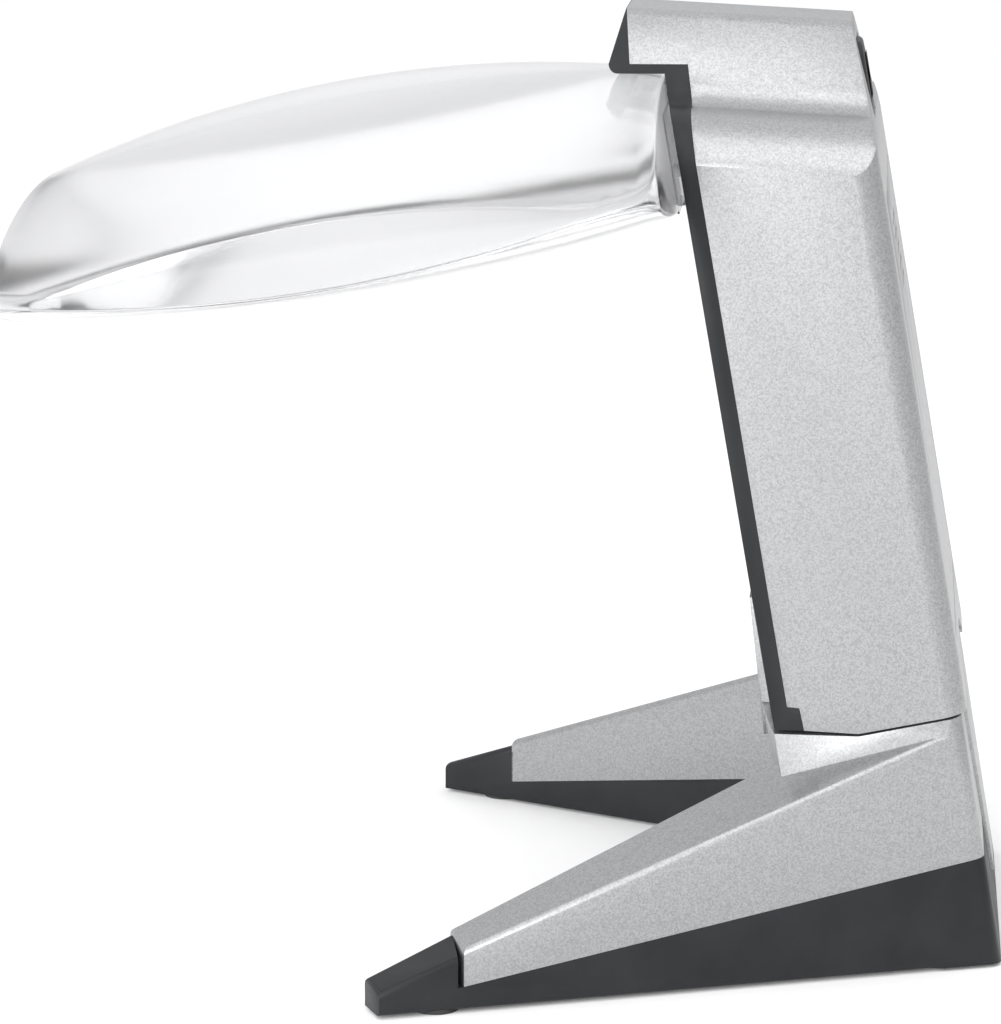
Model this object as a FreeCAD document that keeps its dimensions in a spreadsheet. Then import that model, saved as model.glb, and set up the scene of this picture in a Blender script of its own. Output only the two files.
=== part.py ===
import FreeCAD, Part
import math
import os
import Sketcher
from FreeCAD import Placement, Rotation, Vector

# Illuminated reading and writing stand magnifier with an acrylic lens, in millimetres.
#
# Frame: +Z up, the stand rests on z = 0, the reader sits on the -Y side, and the origin is
# the middle of the bounding box's bottom face. The column leans towards the reader. A
# "foot line" value such as rear_line is the Y at which a leaning face would meet z = 0.

SIZES = {
    # column and head
    "lean_slope": "0.1763",
    "column_half": "27.0",
    "front_line": "34.55",
    "front_edge_line": "35.7",
    "split_line": "37.6",
    "rear_line": "58.0",
    "column_wall": "1.8",
    "rear_round": "3.0",
    "column_bottom": "28.4",
    "column_vertex_y": "40.3",
    "column_rear_bottom": "30.8",
    "head_fall": "0.05",
    "crease": "93.7",
    "shoulder_half": "17.4",
    "shoulder_rise": "5.9",
    "waist_half": "13.8",
    "waist_rise": "8.4",
    "hood_half": "7.6",
    "hood_edge": "108.5",
    "ridge": "109.3",
    "hood_front": "12.2",
    "hood_under": "102.9",
    "nose_front": "10.4",
    "nose_under": "101.9",
    # lens
    "lens_length": "75.0",
    "lens_half": "50.0",
    "lens_corner": "10.7",
    "lens_top": "13.4",
    "lens_bottom": "10.9",
    "lens_top_radius": "139.0",
    "lens_bottom_radius": "174.6",
    "lens_gap": "0.7",
    "lens_rise": "93.64",
    # lens hinge, measured inwards from the column's front face and down from the lens mid-plane
    "hinge_depth": "1.6",
    "hinge_drop": "9.6",
    "knuckle_radius": "1.7",
    "knuckle_half": "6.4",
    "ear_inner": "7.0",
    "ear_outer": "9.6",
    "pin_radius": "0.9",
    "plate_half": "13.0",
    "plate_thick": "1.2",
    # base
    "base_half": "26.6",
    "base_front_line": "33.3",
    "base_front_edge": "35.6",
    "base_rear_line": "57.3",
    "base_wall": "1.8",
    "outer_toe": "45.44",
    "outer_splay": "0.372",
    "inner_toe": "38.34",
    "inner_splay": "0.512",
    "shell_end": "-3.1",
    "tip_end": "-12.3",
    "roof_zero": "21.37",
    "roof_pitch": "0.2832",
    "roof_tilt": "0.28",
    "parting_zero": "3.7",
    "parting_pitch": "0.176",
    "tray_bottom": "0.4",
    "tray_floor": "2.0",
    "pad_radius": "2.6",
    "pad_height": "1.2",
    "tongue_half": "13.0",
    "tongue_top": "34.5",
    "front_tongue_top": "40.5",
    "gap": "0.3",
    # electrics
    "cell_radius": "7.1",
    "cell_length": "50.0",
    "cell_pitch": "14.9",
    "cell_bottom": "35.0",
    "door_half": "20.0",
    "door_bottom": "34.5",
    "door_top": "86.0",
    "door_thick": "1.8",
    "button_half": "5.0",
    "button_bottom": "93.8",
    "button_top": "102.6",
    "button_travel": "0.6",
}

doc = FreeCAD.newDocument("stand_magnifier")
sheet = doc.addObject("Spreadsheet::Sheet", "Sizes")
for row, (alias, number) in enumerate(SIZES.items(), start=1):
    sheet.set("A%d" % row, alias)
    sheet.set("B%d" % row, number)
    sheet.setAlias("B%d" % row, alias)
doc.recompute()


class Size:
    """A number together with the spreadsheet formula that it comes from."""

    def __init__(self, value, text):
        self.value = value
        self.text = text

    def __radd__(self, other):
        return as_size(other) + self

    def __rsub__(self, other):
        return as_size(other) - self

    def join(self, sign, other, value):
        return Size(value, "(%s %s %s)" % (self.text, sign, other.text))

    def __add__(self, other):
        other = as_size(other)
        return self.join("+", other, self.value + other.value)

    def __sub__(self, other):
        other = as_size(other)
        return self.join("-", other, self.value - other.value)

    def __mul__(self, other):
        other = as_size(other)
        return self.join("*", other, self.value * other.value)

    def __neg__(self):
        return Size(-self.value, "(0 - %s)" % self.text)


def as_size(item):
    if isinstance(item, Size):
        return item
    return Size(float(item), "%.6f" % item if item >= 0 else "(0 - %.6f)" % -item)


def cell(alias):
    return Size(float(sheet.get(alias)), "Sizes." + alias)


LEAN = cell("lean_slope")
LEAN_ANGLE = math.degrees(math.atan(LEAN.value))
COS = math.cos(math.radians(LEAN_ANGLE))
SIN = math.sin(math.radians(LEAN_ANGLE))
GAP = cell("gap")
UPRIGHT = Placement()
COLUMN = Placement(Vector(0, cell("front_line").value, 0), Rotation(Vector(1, 0, 0), LEAN_ANGLE))
ACROSS = Rotation(Vector(0, 1, 0), 90)
BACKWARDS = Rotation(Vector(1, 0, 0), -90)


def bind(thing, **sizes):
    for name, size in sizes.items():
        thing.setExpression(name.replace("__", "."), as_size(size).text)
    return thing


def at_height(line, height):
    """Y of a leaning face with the given foot line, at this height."""
    return as_size(line) - LEAN * height


def origin_plane(body, role):
    for feature in body.Origin.OriginFeatures:
        if feature.Role == role:
            return feature
    raise RuntimeError("no plane " + role)


def arc_between(start, end, radius, side):
    """Arc of the given radius from start to end; side +1 puts its centre on the left."""
    chord = end - start
    middle = (start + end) * 0.5
    reach = math.sqrt(max(radius ** 2 - (chord.Length / 2) ** 2, 0))
    left = Vector(-chord.y, chord.x, 0).normalize()
    centre = middle + left * reach * side
    crown = centre - left * radius * side
    if side < 0:
        start, end = end, start
    return Part.Arc(start, crown, end)


def add_outline(body, name, role, points, offset=0.0):
    """Closed sketch. A point is (x, y), or (x, y, radius, side) when an arc leaves it."""
    sketch = body.newObject("Sketcher::SketchObject", name)
    sketch.AttachmentSupport = [(origin_plane(body, role), "")]
    sketch.MapMode = "FlatFace"
    sketch.AttachmentOffset = Placement(Vector(0, 0, as_size(offset).value), Rotation())
    if isinstance(offset, Size):
        sketch.setExpression("AttachmentOffset.Base.z", offset.text)
    points = [tuple(as_size(item) for item in point[:2]) + tuple(point[2:]) for point in points]
    flat = [Vector(point[0].value, point[1].value, 0) for point in points]
    count = len(points)
    for index, point in enumerate(points):
        start, end = flat[index], flat[(index + 1) % count]
        if len(point) == 4:
            curve = arc_between(start, end, as_size(point[2]).value, point[3])
            sketch.addGeometry(curve, False)
        else:
            sketch.addGeometry(Part.LineSegment(start, end), False)
    ends = []
    for index, point in enumerate(points):
        geometry = sketch.Geometry[index]
        forward = (geometry.StartPoint - flat[index]).Length < 1e-4
        ends.append((1, 2) if forward else (2, 1))
    for index in range(count):
        after = (index + 1) % count
        sketch.addConstraint(
            Sketcher.Constraint("Coincident", index, ends[index][1], after, ends[after][0])
        )
    for index, point in enumerate(points):
        spot = ends[index][0]
        across = Sketcher.Constraint("DistanceX", -1, 1, index, spot, point[0].value)
        number = sketch.addConstraint(across)
        sketch.setExpression("Constraints[%d]" % number, point[0].text)
        upward = Sketcher.Constraint("DistanceY", -1, 1, index, spot, point[1].value)
        number = sketch.addConstraint(upward)
        sketch.setExpression("Constraints[%d]" % number, point[1].text)
        if len(point) == 4:
            radius = as_size(point[2])
            bend = Sketcher.Constraint("Radius", index, radius.value)
            number = sketch.addConstraint(bend)
            sketch.setExpression("Constraints[%d]" % number, radius.text)
    return sketch


def padded(name, role, points, length, offset=0.0, direction=None, midplane=False):
    """Body with one padded outline."""
    body = doc.addObject("PartDesign::Body", name)
    sketch = add_outline(body, name + "_outline", role, points, offset)
    pad = body.newObject("PartDesign::Pad", name + "_pad")
    pad.Profile = sketch
    pad.Length = as_size(length).value
    pad.setExpression("Length", as_size(length).text)
    pad.Midplane = midplane
    if direction is not None:
        pad.UseCustomVector = True
        pad.Direction = direction
        pad.AlongSketchNormal = True
    sketch.Visibility = False
    return body


def placed(thing, place, spot):
    """Put a primitive at a spot of a local frame such as the leaning column's."""
    thing.Placement = place.multiply(Placement(spot, Rotation()))
    return thing


def box(name, size, corner, place=UPRIGHT):
    """Box with its low corner at a point of the frame that place gives."""
    block = doc.addObject("Part::Box", name)
    bind(block, Length=size[0], Width=size[1], Height=size[2])
    return placed(block, place, Vector(*[as_size(item).value for item in corner]))


def box_between(name, low, high, place=UPRIGHT):
    low = [as_size(item) for item in low]
    high = [as_size(item) for item in high]
    return box(name, [top - bottom for bottom, top in zip(low, high)], low, place)


def rod(name, radius, length, start, turn, place=UPRIGHT):
    """Cylinder from a point along the direction that turn gives to +Z."""
    cylinder = doc.addObject("Part::Cylinder", name)
    bind(cylinder, Radius=radius, Height=length)
    spot = Vector(*[as_size(item).value for item in start])
    cylinder.Placement = place.multiply(Placement(spot, turn))
    return cylinder


def ball(name, radius, centre):
    sphere = doc.addObject("Part::Sphere", name)
    bind(sphere, Radius=radius)
    sphere.Placement = Placement(Vector(*[as_size(item).value for item in centre]), Rotation())
    return sphere


def cut(name, base, tool):
    result = doc.addObject("Part::Cut", name)
    result.Base = base
    result.Tool = tool
    return result


def fuse(name, *shapes):
    result = doc.addObject("Part::MultiFuse", name)
    result.Shapes = list(shapes)
    result.Refine = True
    return result


def common(name, *shapes):
    result = doc.addObject("Part::MultiCommon", name)
    result.Shapes = list(shapes)
    return result


def mirrored(name, source):
    result = doc.addObject("Part::Mirroring", name)
    result.Source = source
    result.Normal = Vector(1, 0, 0)
    return result


def group(name, *shapes):
    """Separate solids that make one node."""
    result = doc.addObject("Part::Compound", name)
    result.Links = list(shapes)
    return result


def half_space(name, point, normal):
    """Large block whose lower face passes through point, facing against normal."""
    reach = 300.0
    block = doc.addObject("Part::Box", name)
    bind(block, Length=2 * reach, Width=2 * reach, Height=reach)
    turn = Rotation(Vector(0, 0, 1), normal)
    block.Placement = Placement(point, turn).multiply(
        Placement(Vector(-reach, -reach, 0), Rotation())
    )
    return block


def rounded_edges(name, base, picks, radius):
    """Fillet the edges whose middles are nearest to the picked points."""
    doc.recompute()
    chosen = []
    for pick in picks:
        distances = []
        for number, edge in enumerate(base.Shape.Edges, start=1):
            middle = edge.valueAt((edge.FirstParameter + edge.LastParameter) / 2)
            distances.append((middle.distanceToPoint(pick), number))
        chosen.append(min(distances)[1])
    fillet = doc.addObject("Part::Fillet", name)
    fillet.Base = base
    fillet.Edges = [(number, radius, radius) for number in sorted(set(chosen))]
    return fillet


NODES = []


def node(label, thing):
    thing.Label = label
    NODES.append(thing)
    return thing


# ---------------------------------------------------------------- head and column outlines

def front_view(inset):
    """Front-view outline of the column and head, with its heights given at Y = 0."""
    half = cell("column_half") - inset
    crease = cell("crease")
    edge = cell("hood_edge") - as_size(inset) * 0.8
    ridge = cell("ridge") - inset
    shoulder_rise = cell("shoulder_rise") - as_size(inset) * 0.9
    shoulder = (cell("shoulder_half") - as_size(inset) * 0.6, crease + shoulder_rise)
    waist = (cell("waist_half") - inset, crease + cell("waist_rise"))
    hood = (cell("hood_half") - as_size(inset) * 0.6, edge)
    bend = crease + 0.6 - as_size(inset) * 0.5
    swell = as_size(9.5) - inset
    hollow = as_size(5.0) + inset
    return [
        (-half, 15.0),
        (half, 15.0),
        (half, bend, swell, 1),
        (shoulder[0], shoulder[1], hollow, -1),
        (waist[0], waist[1]),
        (hood[0], hood[1], 3.4, 1),
        (hood[0] - 2.6, ridge),
        (-hood[0] + 2.6, ridge, 3.4, 1),
        (-hood[0], hood[1]),
        (-waist[0], waist[1], hollow, -1),
        (-shoulder[0], shoulder[1], swell, 1),
        (-half, bend),
    ]


def head_envelope(name, inset):
    """Front-view solid whose top falls gently from the front to the rear."""
    fall = Vector(0, 1, -cell("head_fall").value)
    return padded(name, "XZ_Plane", front_view(inset), 70.0, direction=fall)


def side_outline(points, name, half=60.0):
    return padded(name, "YZ_Plane", points, 2 * half, midplane=True)


def column_section(name, front, edge, rear, half, corner, height=125.0):
    """Leaning prism with a bowed front and round rear corners."""
    bow = 27.0 ** 2 / (2 * (edge.value - front.value)) + (edge.value - front.value) / 2
    outline = [
        (-half, edge, bow, 1),
        (half, edge),
        (half, rear - corner, corner, 1),
        (half - corner, rear),
        (-half + corner, rear, corner, 1),
        (-half, rear - corner),
    ]
    return padded(name, "XY_Plane", outline, height, direction=Vector(0, -SIN, COS))


SPLIT = cell("split_line")
REAR = cell("rear_line")
HOOD_UNDER = cell("hood_under")
STEP_Z = 31.2
FOOT_Z = 28.45
WALL = cell("column_wall")
REAR_DEPTH = (REAR.value - cell("front_line").value) * COS
SPLIT_DEPTH = (SPLIT.value - cell("front_line").value) * COS

# ---------------------------------------------------------------- column shell (silver)

silver_side = side_outline(
    [
        (cell("hood_front") - 0.5, 112.0),
        (cell("hood_front") + 0.6, HOOD_UNDER),
        (at_height(SPLIT, HOOD_UNDER), HOOD_UNDER),
        (at_height(SPLIT, STEP_Z), STEP_Z),
        (at_height(SPLIT, STEP_Z) + 1.4, STEP_Z - 0.1),
        (at_height(SPLIT, FOOT_Z) + 1.5, FOOT_Z),
        (cell("column_vertex_y"), cell("column_bottom") - 0.2),
        (at_height(REAR, cell("column_rear_bottom")), cell("column_rear_bottom")),
        (at_height(REAR, 94.0), 94.0),
        (at_height(REAR - 1.5, 112.0), 112.0),
    ],
    "silver_side",
)
rear_prism = padded(
    "rear_prism",
    "XY_Plane",
    [
        (-30.0, 0.0),
        (30.0, 0.0),
        (30.0, 10.0),
        (cell("column_half"), 10.0),
        (cell("column_half"), REAR - cell("rear_round"), cell("rear_round"), 1),
        (cell("column_half") - cell("rear_round"), REAR),
        (-cell("column_half") + cell("rear_round"), REAR, cell("rear_round"), 1),
        (-cell("column_half"), REAR - cell("rear_round")),
        (-cell("column_half"), 10.0),
        (-30.0, 10.0),
    ],
    125.0,
    direction=Vector(0, -SIN, COS),
)
silver_block = common("silver_block", head_envelope("head_outer", 0.0), silver_side, rear_prism)
cavity_side = side_outline(
    [
        (0.0, 115.0),
        (0.0, 10.0),
        (at_height(REAR - WALL, 10.0), 10.0),
        (at_height(REAR - WALL, 94.0), 94.0),
        (at_height(REAR - WALL - 1.7, 115.0), 115.0),
    ],
    "cavity_side",
)
cavity = common("column_cavity", head_envelope("head_inner", WALL), cavity_side)
door_window = box_between(
    "door_window",
    (-cell("door_half"), REAR_DEPTH - 4.0, cell("door_bottom")),
    (cell("door_half"), REAR_DEPTH + 2.0, cell("door_top")),
    COLUMN,
)
button_window = box_between(
    "button_window",
    (-cell("button_half") - GAP, REAR_DEPTH - 4.0, cell("button_bottom") - GAP),
    (cell("button_half") + GAP, REAR_DEPTH + 2.0, cell("button_top") + GAP),
    COLUMN,
)


def spine_outline(grow):
    """Outline of the rear spine and its round-topped tongue, in the column's frame."""
    return [
        (-5.0 - grow, 2.1),
        (5.0 + grow, 2.1),
        (cell("tongue_half") + grow, 24.0),
        (cell("tongue_half") + grow, 27.5 + grow, 25.9 + grow, 1),
        (-cell("tongue_half") - grow, 27.5 + grow),
        (-cell("tongue_half") - grow, 24.0),
    ]


def spine_slab(name, grow, low, high):
    slab = padded(name, "XZ_Plane", spine_outline(grow), high - low, offset=-high)
    slab.Placement = COLUMN
    return slab


tongue_pocket = spine_slab("tongue_pocket", 0.3, REAR_DEPTH - 1.15, REAR_DEPTH + 3.0)
shell_tools = fuse("shell_tools", cavity, door_window, button_window, tongue_pocket)
node("column_shell", cut("column_shell_cut", silver_block, shell_tools))

# ---------------------------------------------------------------- front cover (charcoal)

strip_side = side_outline(
    [
        (at_height(cell("front_line"), HOOD_UNDER) - 4.0, HOOD_UNDER),
        (at_height(cell("front_line"), FOOT_Z) - 4.0, FOOT_Z),
        (at_height(SPLIT, FOOT_Z) + 1.5, FOOT_Z),
        (at_height(SPLIT, STEP_Z) + 1.4, STEP_Z - 0.1),
        (at_height(SPLIT, STEP_Z), STEP_Z),
        (at_height(SPLIT, HOOD_UNDER), HOOD_UNDER),
    ],
    "strip_side",
)
bowed_prism = column_section(
    "bowed_prism",
    cell("front_line"),
    cell("front_edge_line"),
    REAR,
    cell("column_half"),
    cell("rear_round"),
)
strip = common("cover_strip", head_envelope("head_for_strip", 0.0), strip_side, bowed_prism)
nose_side = side_outline(
    [
        (cell("hood_front") - 0.5, 112.0),
        (cell("nose_front") - 0.6, 112.0),
        (cell("nose_front"), cell("nose_under") + 1.0, 1.1, 1),
        (cell("nose_front") + 1.0, cell("nose_under")),
        (at_height(SPLIT, cell("nose_under")), cell("nose_under")),
        (at_height(SPLIT, HOOD_UNDER), HOOD_UNDER),
        (cell("hood_front") + 0.6, HOOD_UNDER),
    ],
    "nose_side",
)
nose_lean = half_space("nose_lean", Vector(0, 10.4, 102.9), Vector(0, -5.7, 1.6))
nose_block = common("nose_block", head_envelope("head_for_nose", 0.0), nose_side)
nose = cut("nose", nose_block, nose_lean)
AXIS_REACH = cell("hinge_depth").value
AXIS_RISE = (cell("lens_rise") - cell("hinge_drop")).value


pin_hole = rod(
    "pin_hole", cell("pin_radius"), 19.2, (-9.6, AXIS_REACH, AXIS_RISE), ACROSS, COLUMN
)
front_pocket = box_between(
    "front_pocket",
    (-cell("tongue_half") + 0.7, -6.0, 20.0),
    (cell("tongue_half") - 0.7, 1.5, cell("front_tongue_top") + 1.1),
    COLUMN,
)
hinge_slot = box_between(
    "hinge_slot",
    (-cell("ear_inner"), -6.0, AXIS_RISE - 3.5),
    (cell("ear_inner"), SPLIT_DEPTH + 1.0, AXIS_RISE + 7.2),
    COLUMN,
)
led_slot = box_between("led_slot", (-9.1, 12.9, 101.0), (9.1, 16.6, 103.5))
cover_solid = fuse("cover_solid", strip, nose)
cover_tools = fuse("cover_tools", pin_hole, front_pocket, led_slot, hinge_slot)
node("front_cover", cut("front_cover_cut", cover_solid, cover_tools))

# ---------------------------------------------------------------- lens and its hinge

LENS_SPOT = Vector(0, -cell("lens_gap").value, cell("lens_rise").value)
LENS = COLUMN.multiply(Placement(LENS_SPOT, Rotation()))
LENGTH = cell("lens_length")
HALF = cell("lens_half")
CORNER = cell("lens_corner")
lens_plan = padded(
    "lens_plan",
    "XY_Plane",
    [
        (-HALF + CORNER, 0.0, CORNER, 1),
        (-HALF, -CORNER),
        (-HALF, -LENGTH + CORNER, CORNER, 1),
        (-HALF + CORNER, -LENGTH),
        (HALF - CORNER, -LENGTH, CORNER, 1),
        (HALF, -LENGTH + CORNER),
        (HALF, -CORNER, CORNER, 1),
        (HALF - CORNER, 0.0),
    ],
    60.0,
    midplane=True,
)
top_ball = ball(
    "top_ball",
    cell("lens_top_radius"),
    (0, LENGTH * -0.5, cell("lens_top") - cell("lens_top_radius")),
)
bottom_ball = ball(
    "bottom_ball",
    cell("lens_bottom_radius"),
    (0, LENGTH * -0.5, cell("lens_bottom_radius") - cell("lens_bottom")),
)
PLATE_HALF = cell("plate_half")
plate_recess = box_between(
    "plate_recess", (-PLATE_HALF - 0.1, -cell("plate_thick"), -20.0), (PLATE_HALF + 0.1, 1.0, 5.1)
)
lens_solid = common("lens_solid", lens_plan, top_ball, bottom_ball)
lens = node("lens", cut("lens_cut", lens_solid, plate_recess))
lens.Placement = LENS

bracket_plate = box_between(
    "bracket_plate",
    (-PLATE_HALF, -cell("lens_gap") - cell("plate_thick"), cell("lens_rise") - 6.4),
    (PLATE_HALF, -cell("lens_gap"), cell("lens_rise") + 5.0),
    COLUMN,
)
KNUCKLE = cell("knuckle_half")
bracket_web = box_between(
    "bracket_web",
    (-KNUCKLE, 0.0, AXIS_RISE),
    (KNUCKLE, 0.9, cell("lens_rise") - 3.0),
    COLUMN,
)
bracket_bridge = box_between(
    "bracket_bridge",
    (-KNUCKLE, -cell("lens_gap") - 0.1, cell("lens_rise") - 6.4),
    (KNUCKLE, 0.9, cell("lens_rise") - 3.0),
    COLUMN,
)
knuckle = rod(
    "knuckle",
    cell("knuckle_radius"),
    KNUCKLE * 2,
    (-KNUCKLE, AXIS_REACH, AXIS_RISE),
    ACROSS,
    COLUMN,
)
knuckle_bore = rod(
    "knuckle_bore",
    cell("pin_radius") + 0.05,
    24.0,
    (-12.0, AXIS_REACH, AXIS_RISE),
    ACROSS,
    COLUMN,
)
bracket_solid = fuse("bracket_solid", bracket_plate, bracket_web, bracket_bridge, knuckle)
node("lens_bracket", cut("lens_bracket_cut", bracket_solid, knuckle_bore))
node(
    "hinge_pin",
    rod(
        "hinge_pin_rod",
        cell("pin_radius"),
        cell("ear_outer") * 2,
        (-cell("ear_outer"), AXIS_REACH, AXIS_RISE),
        ACROSS,
        COLUMN,
    ),
)


def ring(name, outer, inner, length, start, turn, place):
    """Washer or tube with a concentric bore."""
    body = rod(name + "_disc", outer, length, start, turn, place)
    bore = rod(name + "_bore", inner, length, start, turn, place)
    return cut(name, body, bore)


washers = []
for side in (-1, 1):
    start = KNUCKLE.value + 0.1 if side > 0 else -KNUCKLE.value - 0.5
    washers.append(
        ring(
            "friction_washer_%d" % (side + 1),
            1.55,
            cell("pin_radius") + 0.05,
            0.4,
            (start, AXIS_REACH, AXIS_RISE),
            ACROSS,
            COLUMN,
        )
    )
node("friction_washers", group("friction_washer_pair", *washers))

# ---------------------------------------------------------------- base top shell (silver)

def outer_x(y, inset=0.0):
    return cell("outer_toe") - cell("outer_splay") * y - inset


def inner_x(y, inset=0.0):
    return cell("inner_toe") - cell("inner_splay") * y + inset


def leg_outline(front_y, slant, inset=0.0):
    """Plan of the right leg from its front end, at front_y outside, to inside the block."""
    inner_y = as_size(front_y) - slant
    return [
        (inner_x(inner_y, inset), inner_y),
        (outer_x(front_y, inset), front_y),
        (outer_x(50.7, inset), 50.7),
        (24.0, 51.2 - inset),
        (22.8, 48.0),
        (21.6, 32.0 + inset),
        (inner_x(31.5 + inset, inset), 31.5 + inset),
    ]


def roof_cutter(name, drop):
    """Everything above the right leg's roof, lowered by drop."""
    zero = cell("roof_zero").value - drop
    normal = Vector(cell("roof_tilt").value, -cell("roof_pitch").value, 1)
    return half_space(name, Vector(0, 0, zero), normal)


def parting(name, up, drop=0.0):
    """Half space above (up = 1) or below (up = -1) the line between shell and tray."""
    zero = cell("parting_zero").value - drop
    return half_space(
        name, Vector(0, 0, zero), Vector(0, -cell("parting_pitch").value * up, up)
    )


BASE_WALL = cell("base_wall")
leg_pad = padded("leg_pad", "XY_Plane", leg_outline(cell("shell_end"), 2.1), 45.0)
leg_roofed = cut("leg_roofed", leg_pad, roof_cutter("leg_roof", 0.0))
leg_right = rounded_edges(
    "leg_right",
    leg_roofed,
    [Vector(36.5, 23.3, 17.8), Vector(32.0, 13.0, 16.2), Vector(43.8, -4.2, 8.3)],
    0.9,
)
leg_left = mirrored("leg_left", leg_right)
block_prism = column_section(
    "block_prism",
    cell("base_front_line"),
    cell("base_front_edge"),
    cell("base_rear_line"),
    cell("base_half"),
    Size(0.4, "0.4"),
    60.0,
)
block_side = side_outline(
    [
        (10.0, -20.0),
        (70.0, -20.0),
        (70.0, 34.2),
        (cell("column_vertex_y"), cell("column_bottom") - 0.6),
        (10.0, cell("column_bottom") - 0.3),
    ],
    "block_side",
)
block = common("base_block", block_prism, block_side)
TONGUE = cell("tongue_half")
front_tongue = padded(
    "front_tongue",
    "YZ_Plane",
    [
        (at_height(cell("base_front_line") + 0.05, 24.0), 24.0),
        (at_height(cell("front_line") + 1.3, 24.0), 24.0),
        (at_height(cell("front_line") + 1.3, cell("front_tongue_top")), cell("front_tongue_top")),
        (at_height(cell("front_line") - 0.2, cell("front_tongue_top")), cell("front_tongue_top")),
    ],
    (TONGUE - 1.0) * 2,
    midplane=True,
)
rear_spine = spine_slab("rear_spine", 0.0, REAR_DEPTH - 1.0, REAR_DEPTH - 0.3)
spigot = box_between("spigot", (-16.0, 8.0, 24.0), (16.0, 15.0, 28.8), COLUMN)


def side_trim(name):
    """Space outside both legs' outer planes, which the block's rear corners follow too."""
    normal = Vector(1, cell("outer_splay").value, 0)
    right = half_space(name + "_right", Vector(cell("outer_toe").value, 0, 0), normal)
    return fuse(name, right, mirrored(name + "_left", right))


trimmed_block = rounded_edges(
    "trimmed_block",
    cut("block_sides", block, side_trim("block_trim")),
    [Vector(25.1, 54.7, 15.0), Vector(-25.1, 54.7, 15.0)],
    1.8,
)
shell_solid = fuse(
    "base_shell_solid", leg_right, leg_left, trimmed_block, front_tongue, rear_spine, spigot
)

leg_hollow = padded(
    "leg_hollow", "XY_Plane", leg_outline(cell("shell_end") + 2.0, 2.1, BASE_WALL), 45.0
)
leg_hollow_right = cut("leg_hollow_right", leg_hollow, roof_cutter("leg_hollow_roof", 1.9))
leg_hollow_left = mirrored("leg_hollow_left", leg_hollow_right)
hollow_prism = column_section(
    "hollow_prism",
    cell("base_front_line") + BASE_WALL,
    cell("base_front_edge") + BASE_WALL,
    cell("base_rear_line") - BASE_WALL,
    cell("base_half") - BASE_WALL - 1.8,
    Size(1.0, "1.0"),
    60.0,
)
hollow_side = side_outline(
    [
        (10.0, -20.0),
        (70.0, -20.0),
        (70.0, 31.9),
        (cell("column_vertex_y"), cell("column_bottom") - 2.7),
        (10.0, cell("column_bottom") - 2.4),
    ],
    "hollow_side",
)
block_hollow = common("block_hollow", hollow_prism, hollow_side)
screw_bores = []
COLUMN_SCREW_X = 11.0
for side in (-1, 1):
    screw_bores.append(
        rod(
            "column_screw_bore_%d" % (side + 1),
            1.4,
            12.0,
            (side * COLUMN_SCREW_X, 11.5, 18.0),
            Rotation(),
            COLUMN,
        )
    )
shell_hollows = fuse(
    "shell_hollows", leg_hollow_right, leg_hollow_left, block_hollow, *screw_bores
)
shell_open = cut("base_shell_open", shell_solid, shell_hollows)
below_parting = parting("below_parting", -1)
spine_keeper = spine_slab("spine_keeper", 0.0, REAR_DEPTH - 1.0, REAR_DEPTH - 0.3)
shell_trimmed = cut("base_shell_trimmed", shell_open, below_parting)

BOSS_SPOTS = [(38.35, 8.0, 11.9, 1.9, 4.5), (20.0, 45.0, 27.6, 2.4, 11.0)]
bosses = []
for side in (-1, 1):
    for number, (spot_x, spot_y, top, wide, post_top) in enumerate(BOSS_SPOTS):
        bosses.append(
            rod(
                "boss_%d_%d" % (number, side + 1),
                wide,
                top - post_top,
                (side * spot_x, spot_y, post_top),
                Rotation(),
            )
        )
pilot_holes = []
for side in (-1, 1):
    for number, (spot_x, spot_y, top, wide, post_top) in enumerate(BOSS_SPOTS):
        pilot_holes.append(
            rod(
                "pilot_%d_%d" % (number, side + 1),
                1.1,
                top - 1.2,
                (side * spot_x, spot_y, 0.0),
                Rotation(),
            )
        )
shell_bossed = fuse("base_shell_bossed", shell_trimmed, spine_keeper, *bosses)
node("base_top_shell", cut("base_top_shell_cut", shell_bossed, fuse("pilots", *pilot_holes)))

# ---------------------------------------------------------------- base tray (charcoal)

TRAY_BOTTOM = cell("tray_bottom")
TRAY_FLOOR = cell("tray_floor")


def tray_leg(name, inset, bottom, front_y):
    """Right leg of the tray from the toe to the heel, as a straight-sided pad."""
    inner_y = as_size(front_y) - 2.1
    outline = [
        (inner_x(inner_y, inset), inner_y),
        (outer_x(front_y, inset), front_y),
        (outer_x(50.7, inset), 50.7),
        (24.0, 51.2 - inset),
        (22.8, 48.0),
        (21.6, 32.0 + inset),
        (inner_x(31.5 + inset, inset), 31.5 + inset),
    ]
    return padded(name, "XY_Plane", outline, 40.0, offset=as_size(bottom))


toe_pad = tray_leg("toe_pad", 0.0, TRAY_BOTTOM, cell("tip_end"))
toe_roofed = cut("toe_roofed", toe_pad, roof_cutter("toe_roof", 0.7))
toe_cap = cut("toe_cap", toe_roofed, tray_leg("toe_rest", -2.0, 0.0, cell("shell_end") - 0.25))
low_pad = tray_leg("low_pad", 0.0, TRAY_BOTTOM, cell("shell_end") - 1.0)
low_leg = cut("low_leg", low_pad, parting("tray_parting", 1))
tray_leg_solid = fuse("tray_leg_solid", toe_cap, low_leg)
tray_leg_right = rounded_edges(
    "tray_leg_right",
    tray_leg_solid,
    [
        Vector(48.2, -7.7, 5.0),
        Vector(43.5, -9.9, 5.3),
        Vector(48.0, -13.3, 3.4),
        Vector(36.0, 25.0, 0.5),
    ],
    0.8,
)
tray_leg_left = mirrored("tray_leg_left", tray_leg_right)
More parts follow.
